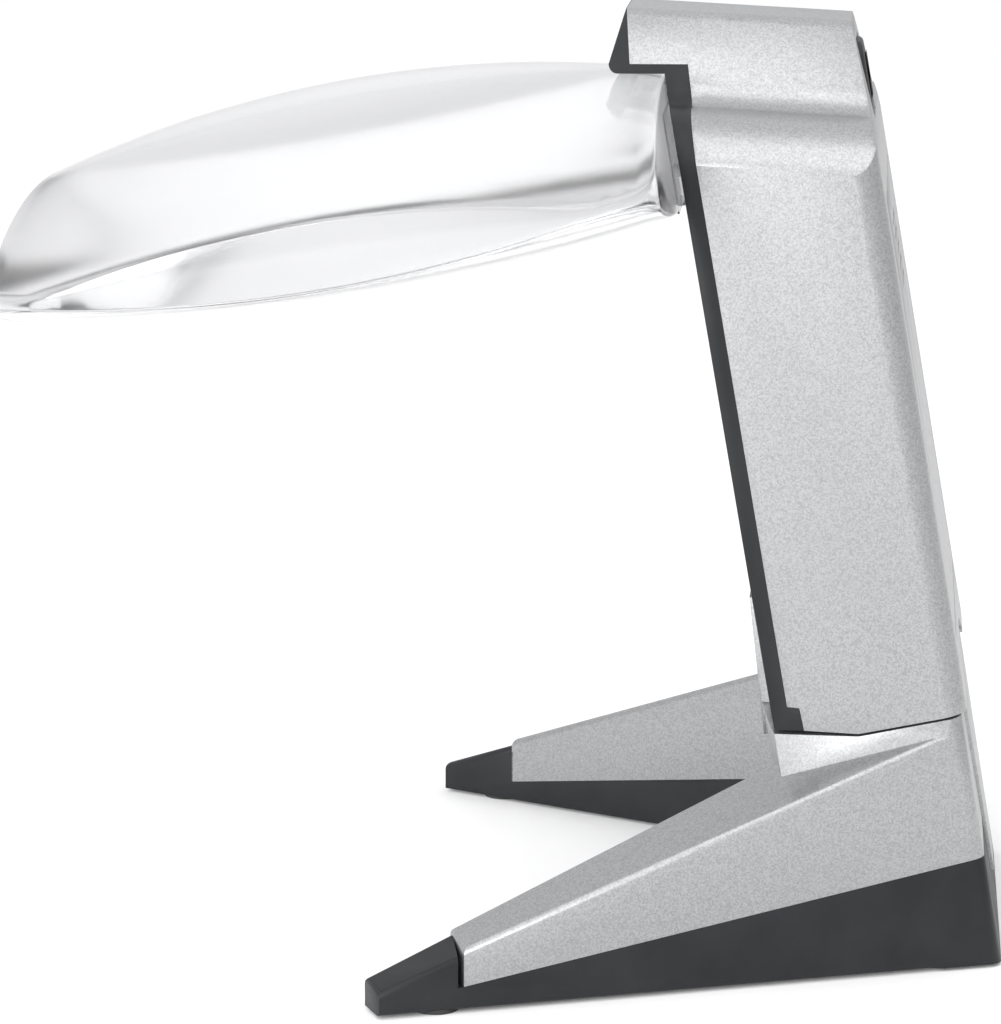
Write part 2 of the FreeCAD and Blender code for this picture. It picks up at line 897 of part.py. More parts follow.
heel_prism = column_section(
    "heel_prism",
    cell("base_front_line"),
    cell("base_front_edge"),
    cell("base_rear_line"),
    cell("base_half"),
    Size(0.4, "0.4"),
    60.0,
)
heel_floor = box_between("heel_floor", (-60.0, 0.0, TRAY_BOTTOM), (60.0, 80.0, 30.0))
heel_low = common("heel_low", heel_prism, heel_floor)
heel_sides = rounded_edges(
    "heel_sides",
    cut("heel_trimmed", heel_low, side_trim("heel_trim")),
    [Vector(25.1, 54.7, 15.0), Vector(-25.1, 54.7, 15.0)],
    1.8,
)
heel = cut("heel", heel_sides, parting("heel_parting", 1))
tray_solid = fuse("tray_solid", tray_leg_right, tray_leg_left, heel)
tray_hollow_leg = tray_leg(
    "tray_hollow_leg", BASE_WALL, TRAY_BOTTOM + TRAY_FLOOR, cell("shell_end") + 3.0
)
tray_hollow_left = mirrored("tray_hollow_left", tray_hollow_leg)
heel_hollow_prism = column_section(
    "heel_hollow_prism",
    cell("base_front_line") + BASE_WALL,
    cell("base_front_edge") + BASE_WALL,
    cell("base_rear_line") - BASE_WALL,
    cell("base_half") - BASE_WALL - 1.8,
    Size(1.0, "1.0"),
    60.0,
)
heel_hollow_floor = box_between(
    "heel_hollow_floor", (-60.0, 0.0, TRAY_BOTTOM + TRAY_FLOOR), (60.0, 80.0, 40.0)
)
heel_hollow = common("heel_hollow", heel_hollow_prism, heel_hollow_floor)
spine_groove = spine_slab("spine_groove", 0.15, REAR_DEPTH - 1.15, REAR_DEPTH + 2.0)
PAD_SPOTS = [(44.76, -6.5), (21.5, 51.5)]
pad_recesses = []
pads = []
screws = []
screw_holes = []


def screw(name, spot, turn, place, length, head_radius=2.0, shank_radius=1.05):
    """Pan-head self-tapping screw whose head's underside sits at spot."""
    shank = rod(name + "_shank", shank_radius, length, spot, turn, place)
    back = turn.multVec(Vector(0, 0, -1.3))
    low = Vector(*[as_size(item).value for item in spot]) + back
    head = rod(name + "_head", head_radius, 1.3, (low.x, low.y, low.z), turn, place)
    slot = box(name + "_slot", (2.6, 0.6, 0.7), (-1.3, -0.3, -0.1))
    slot.Placement = place.multiply(
        Placement(low, turn).multiply(Placement(Vector(-1.3, -0.3, -0.1), Rotation()))
    )
    return cut(name, fuse(name + "_body", shank, head), slot)


for side in (-1, 1):
    for number, (spot_x, spot_y) in enumerate(PAD_SPOTS):
        tag = "%d_%d" % (number, side + 1)
        recess = rod(
            "pad_recess_" + tag,
            cell("pad_radius") + 0.1,
            0.81,
            (side * spot_x, spot_y, TRAY_BOTTOM - 0.001),
            Rotation(),
        )
        pad_recesses.append(recess)
        pads.append(
            rod(
                "pad_" + tag,
                cell("pad_radius"),
                cell("pad_height"),
                (side * spot_x, spot_y, 0.0),
                Rotation(),
            )
        )
    for number, (spot_x, spot_y, top, wide, post_top) in enumerate(BOSS_SPOTS):
        tag = "%d_%d" % (number, side + 1)
        post = rod(
            "tray_post_" + tag,
            3.4,
            post_top - 1.0,
            (side * spot_x, spot_y, 1.0),
            Rotation(),
        )
        well = rod(
            "screw_well_" + tag, 2.3, post_top - 1.5, (side * spot_x, spot_y, 0.0), Rotation()
        )
        through = rod(
            "screw_through_" + tag, 1.3, post_top + 2.0, (side * spot_x, spot_y, 0.0), Rotation()
        )
        screw_holes.append((post, well, through))
        screws.append(
            screw(
                "base_screw_" + tag,
                (side * spot_x, spot_y, post_top - 1.5),
                Rotation(),
                UPRIGHT,
                min(top - post_top, 9.0) - 0.4,
            )
        )
tray_hollows = fuse("tray_hollows", tray_hollow_leg, tray_hollow_left, heel_hollow)
tray_open = cut("tray_open", tray_solid, tray_hollows)
tray_posts = fuse("tray_posts", tray_open, *[item[0] for item in screw_holes])
tray_tools = fuse(
    "tray_tools",
    spine_groove,
    *pad_recesses,
    *[item[1] for item in screw_holes],
    *[item[2] for item in screw_holes]
)
node("base_tray", cut("base_tray_cut", tray_posts, tray_tools))
node("foot_pads", group("foot_pad_set", *pads))
node("base_screws", group("base_screw_set", *screws))

# ---------------------------------------------------------------- column foot and batteries

foot_plate = box_between("foot_plate", (-24.9, 5.0, 28.85), (24.9, 21.0, 31.3), COLUMN)
foot_pilots = []
column_screws = []
for side in (-1, 1):
    foot_pilots.append(
        rod(
            "foot_pilot_%d" % (side + 1),
            1.05,
            6.0,
            (side * COLUMN_SCREW_X, 11.5, 27.0),
            Rotation(),
            COLUMN,
        )
    )
    column_screws.append(
        screw(
            "column_screw_%d" % (side + 1),
            (side * COLUMN_SCREW_X, 11.5, 23.6),
            Rotation(),
            COLUMN,
            7.2,
        )
    )
node("column_foot", cut("column_foot_cut", foot_plate, fuse("foot_pilots", *foot_pilots)))
node("column_screws", group("column_screw_pair", *column_screws))

CELL_PITCH = cell("cell_pitch").value
CELL_BOTTOM = cell("cell_bottom").value
CELL_TOP = CELL_BOTTOM + cell("cell_length").value
CELL_DEPTH = 12.3
carrier_block = box_between(
    "carrier_block", (-23.8, 3.6, CELL_BOTTOM - 3.4), (23.8, 18.3, CELL_TOP + 3.0), COLUMN
)
carrier_room = box_between(
    "carrier_room", (-22.7, CELL_DEPTH, CELL_BOTTOM - 2.0), (22.7, 25.0, CELL_TOP + 1.7), COLUMN
)
troughs = []
cells = []
springs = []
plates = []
for index in (-1, 0, 1):
    tag = str(index + 1)
    x = index * CELL_PITCH
    radius = cell("cell_radius")
    troughs.append(
        rod(
            "trough_" + tag,
            radius + 0.25,
            CELL_TOP - CELL_BOTTOM + 3.7,
            (x, CELL_DEPTH, CELL_BOTTOM - 2.0),
            Rotation(),
            COLUMN,
        )
    )
    can = rod(
        "cell_can_" + tag,
        radius,
        cell("cell_length") - 1.0,
        (x, CELL_DEPTH, CELL_BOTTOM),
        Rotation(),
        COLUMN,
    )
    nub = rod("cell_nub_" + tag, 2.7, 1.0, (x, CELL_DEPTH, CELL_TOP - 1.0), Rotation(), COLUMN)
    cells.append(fuse("cell_" + tag, can, nub))
    spring = doc.addObject("Part::Cone", "contact_spring_" + tag)
    bind(spring, Radius1=3.6, Radius2=2.2, Height=1.95)
    spring.Placement = COLUMN.multiply(
        Placement(Vector(x, CELL_DEPTH, CELL_BOTTOM - 1.98), Rotation())
    )
    bore = rod(
        "spring_bore_" + tag, 1.5, 4.0, (x, CELL_DEPTH, CELL_BOTTOM - 3.0), Rotation(), COLUMN
    )
    springs.append(cut("contact_spring_cut_" + tag, spring, bore))
    plates.append(
        box_between(
            "contact_plate_" + tag,
            (x - 4.0, CELL_DEPTH - 4.0, CELL_TOP + 1.1),
            (x + 4.0, CELL_DEPTH + 4.0, CELL_TOP + 1.6),
            COLUMN,
        )
    )
carrier_tools = fuse("carrier_tools", carrier_room, *troughs)
node("battery_carrier", cut("battery_carrier_cut", carrier_block, carrier_tools))
node("batteries", group("battery_set", *cells))
node("contact_springs", group("contact_spring_set", *springs))
node("contact_plates", group("contact_plate_set", *plates))

# ---------------------------------------------------------------- battery door

DOOR_THICK = cell("door_thick")
door_plate = box_between(
    "door_plate",
    (-cell("door_half") + GAP, REAR_DEPTH - DOOR_THICK, cell("door_bottom") + GAP),
    (cell("door_half") - GAP, REAR_DEPTH, cell("door_top") - GAP),
    COLUMN,
)
door_pieces = [door_plate]
for side in (-1, 1):
    x = side * CELL_PITCH / 2
    low = cell("door_bottom").value
    door_pieces.append(
        box_between(
            "door_tab_%d" % (side + 1),
            (x - 1.4, REAR_DEPTH - 3.3, low - 2.3),
            (x + 1.4, REAR_DEPTH - 2.1, low + 3.0),
            COLUMN,
        )
    )
    door_pieces.append(
        box_between(
            "door_rib_%d" % (side + 1),
            (x - 1.4, REAR_DEPTH - 2.3, low + 0.8),
            (x + 1.4, REAR_DEPTH - 1.0, low + 3.0),
            COLUMN,
        )
    )
door_solid = fuse("door_solid", *door_pieces)
grip_lines = []
for line in range(5):
    height = cell("door_top").value - 5.5 - 1.8 * line
    grip_lines.append(
        box_between(
            "grip_line_%d" % line,
            (-7.0, REAR_DEPTH - 0.6, height),
            (7.0, REAR_DEPTH + 1.0, height + 0.9),
            COLUMN,
        )
    )
node("battery_door", cut("battery_door_cut", door_solid, fuse("grip_lines", *grip_lines)))

# ---------------------------------------------------------------- button, switch and lamp

BUTTON_HALF = cell("button_half")
BUTTON_LOW = cell("button_bottom")
BUTTON_HIGH = cell("button_top")
button_cap_plan = padded(
    "button_cap",
    "XZ_Plane",
    [
        (-BUTTON_HALF, BUTTON_LOW + 0.8),
        (-BUTTON_HALF + 0.8, BUTTON_LOW),
        (BUTTON_HALF - 0.8, BUTTON_LOW),
        (BUTTON_HALF, BUTTON_LOW + 0.8),
        (BUTTON_HALF, BUTTON_HIGH - 0.8),
        (BUTTON_HALF - 0.8, BUTTON_HIGH),
        (-BUTTON_HALF + 0.8, BUTTON_HIGH),
        (-BUTTON_HALF, BUTTON_HIGH - 0.8),
    ],
    3.2,
    offset=-(REAR_DEPTH - 0.3),
)
button_cap_plan.Placement = COLUMN
button_flange = box_between(
    "button_flange",
    (-BUTTON_HALF - 0.9, REAR_DEPTH - 4.2, BUTTON_LOW - 0.9),
    (BUTTON_HALF + 0.9, REAR_DEPTH - 3.2, BUTTON_HIGH + 0.4),
    COLUMN,
)
node("power_button", fuse("power_button_solid", button_cap_plan, button_flange))
node(
    "circuit_board",
    box_between("circuit_board_plate", (-8.5, 13.4, 90.5), (8.5, 14.6, 100.5), COLUMN),
)
switch_body = box_between("switch_body", (-3.0, 14.6, 95.2), (3.0, 17.2, 101.2), COLUMN)
switch_plunger = rod("switch_plunger", 1.5, 0.7, (0.0, 17.2, 98.2), BACKWARDS, COLUMN)
node("power_switch", fuse("power_switch_solid", switch_body, switch_plunger))
node("led_board", box_between("led_board_plate", (-7.2, 13.2, 104.1), (7.2, 17.8, 104.9)))
leds = []
for side in (-1, 1):
    leds.append(
        box_between(
            "led_%d" % (side + 1), (side * 4.5 - 1.7, 13.4, 103.2), (side * 4.5 + 1.7, 16.2, 104.1)
        )
    )
node("leds", group("led_pair", *leds))
node("led_window", box_between("led_window_plate", (-9.0, 13.0, 101.95), (9.0, 16.5, 102.85)))

# ---------------------------------------------------------------- wiring inside the column

def wire_run(name, points, radius):
    """Thin insulated wire along straight runs with round bends."""
    edges = []
    start = points[0]
    for before, corner, after in zip(points, points[1:], points[2:]):
        first = (before - corner).normalize()
        second = (after - corner).normalize()
        turn = math.pi - first.getAngle(second)
        reach = 0.45 * min((before - corner).Length, (after - corner).Length)
        bend = reach / math.tan(turn / 2)
        enter = corner + first * reach
        leave = corner + second * reach
        bisector = (first + second).normalize()
        centre = corner + bisector * (bend / math.cos(turn / 2))
        crown = centre - bisector * bend
        edges.append(Part.LineSegment(start, enter).toShape())
        edges.append(Part.Arc(enter, crown, leave).toShape())
        start = leave
    edges.append(Part.LineSegment(start, points[-1]).toShape())
    path = Part.Wire(edges)
    heading = (points[1] - points[0]).normalize()
    circle = Part.Wire([Part.Circle(points[0], heading, radius).toShape()])
    tube = doc.addObject("Part::Feature", name)
    tube.Shape = path.makePipeShell([circle], True, True)
    return tube


def in_column(x, depth, rise):
    return COLUMN.multVec(Vector(x, depth, rise))


lamp_lead = wire_run(
    "lamp_lead",
    [in_column(2.0, 12.8, 99.5), in_column(2.0, 9.5, 101.5), Vector(3.0, 18.2, 104.5)],
    0.45,
)
battery_lead = wire_run(
    "battery_lead",
    [in_column(-5.0, 12.0, 88.6), in_column(-5.0, 12.0, 91.5), in_column(-5.0, 12.85, 94.0)],
    0.45,
)
node("wiring", group("wiring_pair", lamp_lead, battery_lead))

# ---------------------------------------------------------------- checks and files

doc.recompute()
problems = []
for thing in doc.Objects:
    for state in thing.State:
        if state in ("Invalid", "Error"):
            problems.append("%s is %s" % (thing.Name, state))
for piece in NODES:
    shape = piece.Shape
    if shape.isNull() or not shape.isValid() or not shape.Solids:
        problems.append("%s has no valid solid" % piece.Label)
if problems:
    raise RuntimeError("; ".join(problems))
os.makedirs("parts", exist_ok=True)
overall = FreeCAD.BoundBox()
for piece in NODES:
    piece.Shape.exportStep("parts/%s.step" % piece.Label)
    overall.add(piece.Shape.BoundBox)
    print(
        "%-18s %2d solids %9.1f mm3" % (piece.Label, len(piece.Shape.Solids), piece.Shape.Volume)
    )
print("box", [round(item, 2) for item in (overall.XMin, overall.XMax, overall.YMin)])
print("   ", [round(item, 2) for item in (overall.YMax, overall.ZMin, overall.ZMax)])
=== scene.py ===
# %% [markdown]
# # An illuminated stand magnifier
# The magnifier is a leaning column on a V-shaped foot, with a thick clear lens in front.
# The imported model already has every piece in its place, so this lesson adds what makes
# the pieces look real: soft edges on the mouldings, a truly smooth lens, and finishes.

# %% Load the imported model
import math

import bmesh
import bpy
from mathutils import Matrix, Vector


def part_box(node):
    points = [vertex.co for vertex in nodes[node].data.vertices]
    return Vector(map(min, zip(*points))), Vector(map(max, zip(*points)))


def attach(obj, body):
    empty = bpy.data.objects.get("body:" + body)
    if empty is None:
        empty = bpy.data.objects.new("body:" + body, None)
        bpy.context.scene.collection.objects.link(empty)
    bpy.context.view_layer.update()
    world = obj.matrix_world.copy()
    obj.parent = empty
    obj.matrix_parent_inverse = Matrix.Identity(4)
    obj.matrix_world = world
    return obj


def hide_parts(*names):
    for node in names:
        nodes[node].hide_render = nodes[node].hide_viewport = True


MM = 0.001
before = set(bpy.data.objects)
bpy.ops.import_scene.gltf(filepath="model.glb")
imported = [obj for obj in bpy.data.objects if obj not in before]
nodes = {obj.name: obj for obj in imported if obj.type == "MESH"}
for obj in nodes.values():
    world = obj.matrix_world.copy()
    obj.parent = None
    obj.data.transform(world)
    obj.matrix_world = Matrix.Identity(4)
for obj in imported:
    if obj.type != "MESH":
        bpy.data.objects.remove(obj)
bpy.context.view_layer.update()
print("pieces in the model:", len(nodes))

# %% [markdown]
# ## Camera, floor and light
# A long lens from the reader's right side shows the column edge-on and keeps the two feet
# nearly the same size. The camera stands a little above the table and a little behind the
# column's own side. Making it first lets every later step be looked at straight away.

# %% Camera
LOOK_AT = Vector((0.0, -3.1, 47.6)) * MM
AZIMUTH = math.radians(95.0)
ELEVATION = math.radians(12.0)
DISTANCE = 537.0 * MM


def towards(azimuth, elevation):
    """Direction from the object to a camera, with azimuth 0 on the reader's side."""
    flat = Vector((math.sin(azimuth), -math.cos(azimuth), 0.0))
    return flat * math.cos(elevation) + Vector((0, 0, math.sin(elevation)))


camera_data = bpy.data.cameras.new("camera")
camera_data.lens = 157.4
camera_data.sensor_width = 36.0
camera_data.clip_start = 0.01
camera = bpy.data.objects.new("camera", camera_data)
camera.location = LOOK_AT + towards(AZIMUTH, ELEVATION) * DISTANCE
camera.rotation_euler = (LOOK_AT - camera.location).to_track_quat("-Z", "Y").to_euler()
bpy.context.scene.collection.objects.link(camera)
bpy.context.scene.camera = camera
print("camera at", [round(value, 3) for value in camera.location])

# %% [markdown]
# The object stands on a pale table. A large round sheet is enough: it catches the soft
# shadow under the feet, and the clear lens shows it through the glass.

# %% Floor
def new_object(name, bm, smooth=True):
    """Turn a bmesh into an object at the origin, with smooth or flat faces."""
    mesh = bpy.data.meshes.new(name)
    for face in bm.faces:
        face.smooth = smooth
    bm.to_mesh(mesh)
    bm.free()
    item = bpy.data.objects.new(name, mesh)
    bpy.context.scene.collection.objects.link(item)
    return item


floor_bm = bmesh.new()
bmesh.ops.create_circle(floor_bm, cap_ends=True, segments=96, radius=3.0)
floor = new_object("floor", floor_bm, smooth=False)
print("floor is", round(floor.dimensions.x, 2), "m across")

# %% [markdown]
# A small studio lights it: a pale grey sweep stands all round the table and grows whiter
# towards the ceiling. The shoulders of the head then look brighter than the upright faces.
# A wide panel high above helps the shoulders, and one in front lights the sides of the feet.

# %% Lights
def soft_panel(name, azimuth, elevation, distance, size, power):
    """Square area light that faces the middle of the object."""
    data = bpy.data.lights.new(name, "AREA")
    data.shape = "SQUARE"
    data.size = size
    data.energy = power
    lamp = bpy.data.objects.new(name, data)
    lamp.location = LOOK_AT + towards(math.radians(azimuth), math.radians(elevation)) * distance
    lamp.rotation_euler = (LOOK_AT - lamp.location).to_track_quat("-Z", "Y").to_euler()
    bpy.context.scene.collection.objects.link(lamp)
    return lamp


panels = [
    soft_panel("panel_above_side", 100, 68, 1.0, 0.8, 3.2),
    soft_panel("panel_front", 62, 16, 1.0, 0.5, 8.5),
]
world = bpy.data.worlds.new("studio_world")
bpy.context.scene.world = world
world.use_nodes = True
sky = world.node_tree.nodes
sky_links = world.node_tree.links
sky["Background"].inputs["Strength"].default_value = 1.1
direction = sky.new("ShaderNodeTexCoord")
split = sky.new("ShaderNodeSeparateXYZ")
ramp = sky.new("ShaderNodeValToRGB")
ramp.color_ramp.elements[0].position = 0.0
ramp.color_ramp.elements[0].color = (0.66, 0.66, 0.67, 1)
ramp.color_ramp.elements[1].position = 0.97
ramp.color_ramp.elements[1].color = (0.92, 0.92, 0.93, 1)
middle = ramp.color_ramp.elements.new(0.42)
middle.color = (0.82, 0.82, 0.83, 1)
upper = ramp.color_ramp.elements.new(0.78)
upper.color = (1.0, 1.0, 1.0, 1)
sky_links.new(direction.outputs["Generated"], split.inputs[0])
sky_links.new(split.outputs["Z"], ramp.inputs["Fac"])
sky_links.new(ramp.outputs["Color"], sky["Background"].inputs["Color"])
bpy.context.scene.view_settings.view_transform = "Standard"
print("soft panels:", len(panels))

# %% [markdown]
# ## Finishes
# Every finish starts from the same Principled shader. Its colour, roughness and tiny bumps
# come from noise measured in the object's own metres, so a grain keeps its real size.

# %% Helpers for finishes
class Finish:
    """A material under construction, with short ways to add its nodes."""

    def __init__(self, name, **constants):
        self.material = bpy.data.materials.new(name)
        self.material.use_nodes = True
        self.nodes = self.material.node_tree.nodes
        self.links = self.material.node_tree.links
        self.shader = self.nodes["Principled BSDF"]
        self.place = self.nodes.new("ShaderNodeTexCoord").outputs["Object"]
        for socket, value in constants.items():
            self.shader.inputs[socket.replace("_", " ")].default_value = value

    def noise(self, grain, detail=3.0, stretch=None):
        """Noise with features about this many millimetres across."""
        texture = self.nodes.new("ShaderNodeTexNoise")
        texture.inputs["Scale"].default_value = 1.0 / (grain * MM)
        texture.inputs["Detail"].default_value = detail
        self.links.new(self.stretched(stretch), texture.inputs["Vector"])
        return texture.outputs["Fac"]

    def stretched(self, stretch):
        if stretch is None:
            return self.place
        mapping = self.nodes.new("ShaderNodeMapping")
        mapping.inputs["Scale"].default_value = stretch
        self.links.new(self.place, mapping.inputs["Vector"])
        return mapping.outputs["Vector"]

    def flakes(self, grain):
        """Random value for each little cell, as the flakes in a metallic paint have."""
        cells = self.nodes.new("ShaderNodeTexVoronoi")
        cells.inputs["Scale"].default_value = 1.0 / (grain * MM)
        self.links.new(self.place, cells.inputs["Vector"])
        split = self.nodes.new("ShaderNodeSeparateColor")
        self.links.new(cells.outputs["Color"], split.inputs["Color"])
        return split.outputs["Red"]

    def spread(self, factor, low, high, start=0.3, end=0.7):
        """Map a noise value to a range of numbers."""
        mapping = self.nodes.new("ShaderNodeMapRange")
        for socket, value in zip(("From Min", "From Max", "To Min", "To Max"), (start, end, low, high)):
            mapping.inputs[socket].default_value = value
        self.links.new(factor, mapping.inputs["Value"])
        return mapping.outputs["Result"]

    def blend(self, factor, first, second):
        """Mix two colours, or a colour and another blend, by a factor."""
        mix = self.nodes.new("ShaderNodeMix")
        mix.data_type = "RGBA"
        self.links.new(factor, mix.inputs["Factor"])
        colour_inputs = [socket for socket in mix.inputs if socket.type == "RGBA"]
        for socket, colour in zip(colour_inputs, (first, second)):
            if isinstance(colour, tuple):
                socket.default_value = colour + (1.0,)
            else:
                self.links.new(colour, socket)
        return [socket for socket in mix.outputs if socket.type == "RGBA"][0]

    def colour(self, output):
        self.links.new(output, self.shader.inputs["Base Color"])

    def roughness(self, output):
        self.links.new(output, self.shader.inputs["Roughness"])

    def bump(self, *layers):
        """Stack of bumps; each layer is (height output, depth in mm, strength)."""
        normal = None
        for height, depth, strength in layers:
            node = self.nodes.new("ShaderNodeBump")
            node.inputs["Distance"].default_value = depth * MM
            node.inputs["Strength"].default_value = strength
            self.links.new(height, node.inputs["Height"])
            if normal is not None:
                self.links.new(normal, node.inputs["Normal"])
            normal = node.outputs["Normal"]
        self.links.new(normal, self.shader.inputs["Normal"])


print("finish helpers ready")

# %% [markdown]
# ### Silver paint
# The column and the top of the foot are moulded plastic under a silver metallic paint. Its
# aluminium flakes lie nearly flat: each reflects a slightly different amount, which gives
# the fine sparkle. A cell texture gives each flake its own brightness and tilt.

# %% Silver paint
silver = Finish("silver_paint", Metallic=0.82, Coat_Weight=0.12, Coat_Roughness=0.28)
flake = silver.flakes(0.17)
cloud = silver.noise(14.0, 2.0)
dark_and_light = silver.blend(flake, (0.30, 0.304, 0.308), (0.43, 0.434, 0.438))
silver.colour(silver.blend(silver.spread(cloud, 0.0, 0.12), dark_and_light, (0.39, 0.39, 0.386)))
silver.roughness(silver.spread(silver.noise(0.9, 4.0), 0.33, 0.44))
silver.bump((flake, 0.004, 0.5), (silver.noise(0.5, 2.0), 0.006, 0.4))
print("silver paint:", len(silver.nodes), "nodes")

# %% [markdown]
# ### Charcoal plastic
# The front strip, the nose and the foot's tray are bare charcoal plastic. The mould is
# spark eroded, so the surface has a fine even grain, with faint rubbed patches.

# %% Charcoal plastic
charcoal = Finish("charcoal_plastic", Specular_IOR_Level=0.22)
rubbed = charcoal.noise(7.0, 5.0)
charcoal.colour(charcoal.blend(
    charcoal.spread(rubbed, 0.0, 1.0), (0.014, 0.015, 0.0165), (0.020, 0.021, 0.023)))
charcoal.roughness(charcoal.spread(rubbed, 0.50, 0.40))
charcoal.bump((charcoal.noise(0.35, 3.0), 0.02, 0.55), (charcoal.noise(3.0, 2.0), 0.02, 0.2))
print("charcoal plastic:", len(charcoal.nodes), "nodes")

# %% [markdown]
# ### Clear acrylic
# The lens is one block of polished acrylic. Light bends as it enters and leaves, so the
# shader is fully transmissive with acrylic's own index of 1.49. A light grey tint lets the
# block show against a white room, with only the faintest ripple and wiping haze.

# %% Clear acrylic
acrylic = Finish("clear_acrylic", Transmission_Weight=1.0, IOR=1.49)
haze = acrylic.noise(11.0, 4.0)
acrylic.colour(acrylic.blend(acrylic.spread(haze, 0.0, 1.0), (0.850, 0.854, 0.862), (0.835, 0.839, 0.847)))
acrylic.roughness(acrylic.spread(haze, 0.09, 0.12))
acrylic.bump((acrylic.noise(26.0, 1.0), 0.02, 0.12))
print("clear acrylic:", len(acrylic.nodes), "nodes")

# %% [markdown]
# ### Small finishes
# The hidden and minor pieces get finishes of their own: soft black plastic for the button
# and bracket, satin steel, nylon, rubber, the battery sleeves, green board lacquer, the
# lamps' yellow phosphor and the wire's red skin.

# %% Small finishes
def simple_finish(name, dark, light, rough, grain, depth, **constants):
    """Two-tone finish with a grain of the given size and depth in millimetres."""
    finish = Finish(name, **constants)
    patches = finish.noise(grain * 12, 4.0)
    finish.colour(finish.blend(finish.spread(patches, 0.0, 1.0), dark, light))
    finish.roughness(finish.spread(patches, rough[0], rough[1]))
    finish.bump((finish.noise(grain, 3.0), depth, 0.5))
    return finish


black = simple_finish(
    "black_plastic", (0.014, 0.014, 0.015), (0.024, 0.024, 0.025), (0.38, 0.5), 0.3, 0.015)
soft_black = simple_finish(
    "button_black", (0.010, 0.010, 0.011), (0.017, 0.017, 0.018), (0.45, 0.6), 0.25, 0.02)
steel = simple_finish(
    "steel", (0.52, 0.53, 0.55), (0.68, 0.69, 0.70), (0.22, 0.38), 0.2, 0.006, Metallic=1.0)
nylon = simple_finish("white_nylon", (0.78, 0.78, 0.74), (0.86, 0.86, 0.83), (0.4, 0.5), 0.4, 0.01)
rubber = simple_finish("foot_rubber", (0.02, 0.02, 0.02), (0.035, 0.035, 0.034), (0.7, 0.85), 0.4, 0.03)
sleeve = simple_finish(
    "battery_sleeve", (0.06, 0.07, 0.09), (0.10, 0.11, 0.14), (0.25, 0.35), 0.6, 0.006,
    Metallic=0.4)
board = simple_finish("board_green", (0.02, 0.13, 0.06), (0.03, 0.18, 0.08), (0.3, 0.4), 0.5, 0.01)
phosphor = simple_finish("lamp_phosphor", (0.85, 0.68, 0.20), (0.92, 0.78, 0.32), (0.25, 0.35), 0.3, 0.01)
window = simple_finish("window_clear", (0.93, 0.95, 0.96), (0.97, 0.98, 0.98), (0.12, 0.2), 0.8, 0.01,
                       Transmission_Weight=0.9, IOR=1.49)
wire_skin = simple_finish("wire_red", (0.42, 0.02, 0.02), (0.5, 0.03, 0.03), (0.35, 0.45), 0.4, 0.01)
paper = simple_finish("table_top", (0.86, 0.86, 0.86), (0.88, 0.88, 0.88), (0.6, 0.7), 1.5, 0.02)
# A slight glow of its own keeps the table white out to its far edge.
paper.shader.inputs["Emission Color"].default_value = (1.0, 1.0, 1.0, 1.0)
paper.shader.inputs["Emission Strength"].default_value = 0.08
floor.data.materials.append(paper.material)
print("small finishes ready")

# %% [markdown]
# ## Dress the pieces that keep their shape
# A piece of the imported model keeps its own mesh. Only the material in its slot changes.

# %% Materials for the model's own pieces
WEARS = {
    "column_shell": silver, "base_top_shell": silver, "battery_door": silver,
    "front_cover": charcoal, "base_tray": charcoal,
    "lens": acrylic, "lens_bracket": acrylic, "led_window": window,
    "column_foot": black, "battery_carrier": black, "power_switch": black,
    "power_button": soft_black,
    "hinge_pin": steel, "base_screws": steel, "column_screws": steel,
    "contact_springs": steel, "contact_plates": steel,
    "friction_washers": nylon, "foot_pads": rubber, "batteries": sleeve,
    "circuit_board": board, "led_board": board, "leds": phosphor, "wiring": wire_skin,
}
for name, finish in WEARS.items():
    for material_slot in nodes[name].material_slots:
        material_slot.link = "OBJECT"
        material_slot.material = finish.material
print("dressed:", len(WEARS))

# %% [markdown]
# ## Soft edges on the mouldings
# No moulded edge is perfectly sharp: it is rounded by a few tenths of a millimetre, and
# that rounding is what catches a bright line of light. Each large moulding is copied, its
# loose triangles are welded and cleaned into flat panels, and a Bevel modifier rounds
# every edge that turns sharply.

# %% Round the edges of the large mouldings
def softened(name, body, slot, width, finish):
    """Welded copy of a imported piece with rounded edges, which stands for it."""
    bm = bmesh.new()
    bm.from_mesh(nodes[name].data)
    bmesh.ops.remove_doubles(bm, verts=bm.verts, dist=0.002 * MM)
    bmesh.ops.dissolve_limit(bm, angle_limit=math.radians(0.4), verts=bm.verts, edges=bm.edges,
                             use_dissolve_boundaries=False)
    item = new_object(name + "_moulding", bm)
    item.data.materials.append(finish.material)
    rounding = item.modifiers.new("rounding", "BEVEL")
    rounding.width = width * MM
    rounding.segments = 2
    rounding.limit_method = "ANGLE"
    rounding.angle_limit = math.radians(28)
    rounding.harden_normals = True
    rounding.use_clamp_overlap = True
    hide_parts(name)
    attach(item, body)
    return item


MOULDINGS = [
    ("column_shell", "stand", "silver_paint", 0.25, silver),
    ("base_top_shell", "stand", "silver_paint", 0.25, silver),
    ("front_cover", "stand", "charcoal_plastic", 0.2, charcoal),
    ("base_tray", "stand", "charcoal_plastic", 0.25, charcoal),
    ("battery_door", "door", "silver_paint", 0.15, silver),
]
for moulding in MOULDINGS:
    item = softened(*moulding)
    print(item.name, len(item.data.polygons), "panels")

# %% [markdown]
# ## The power button
# A thumb presses the button on the back of the head. It is a soft black pillow with round
# corners. A cube gets its four long edges rounded first, then a small round all the way
# along its front rim, and its front face is pushed out a little in the middle.

# %% Model the button in the column's own lean
BUTTON_SIZE = Vector((9.8, 3.0, 8.6)) * MM
BUTTON_MIDDLE = Vector((0.0, 38.47, 100.41)) * MM


def leaning(spot):
    """Matrix that puts a piece at a spot of the model, leaning as the column does."""
    return Matrix.Translation(spot) @ Matrix.Rotation(LEAN, 4, "X")


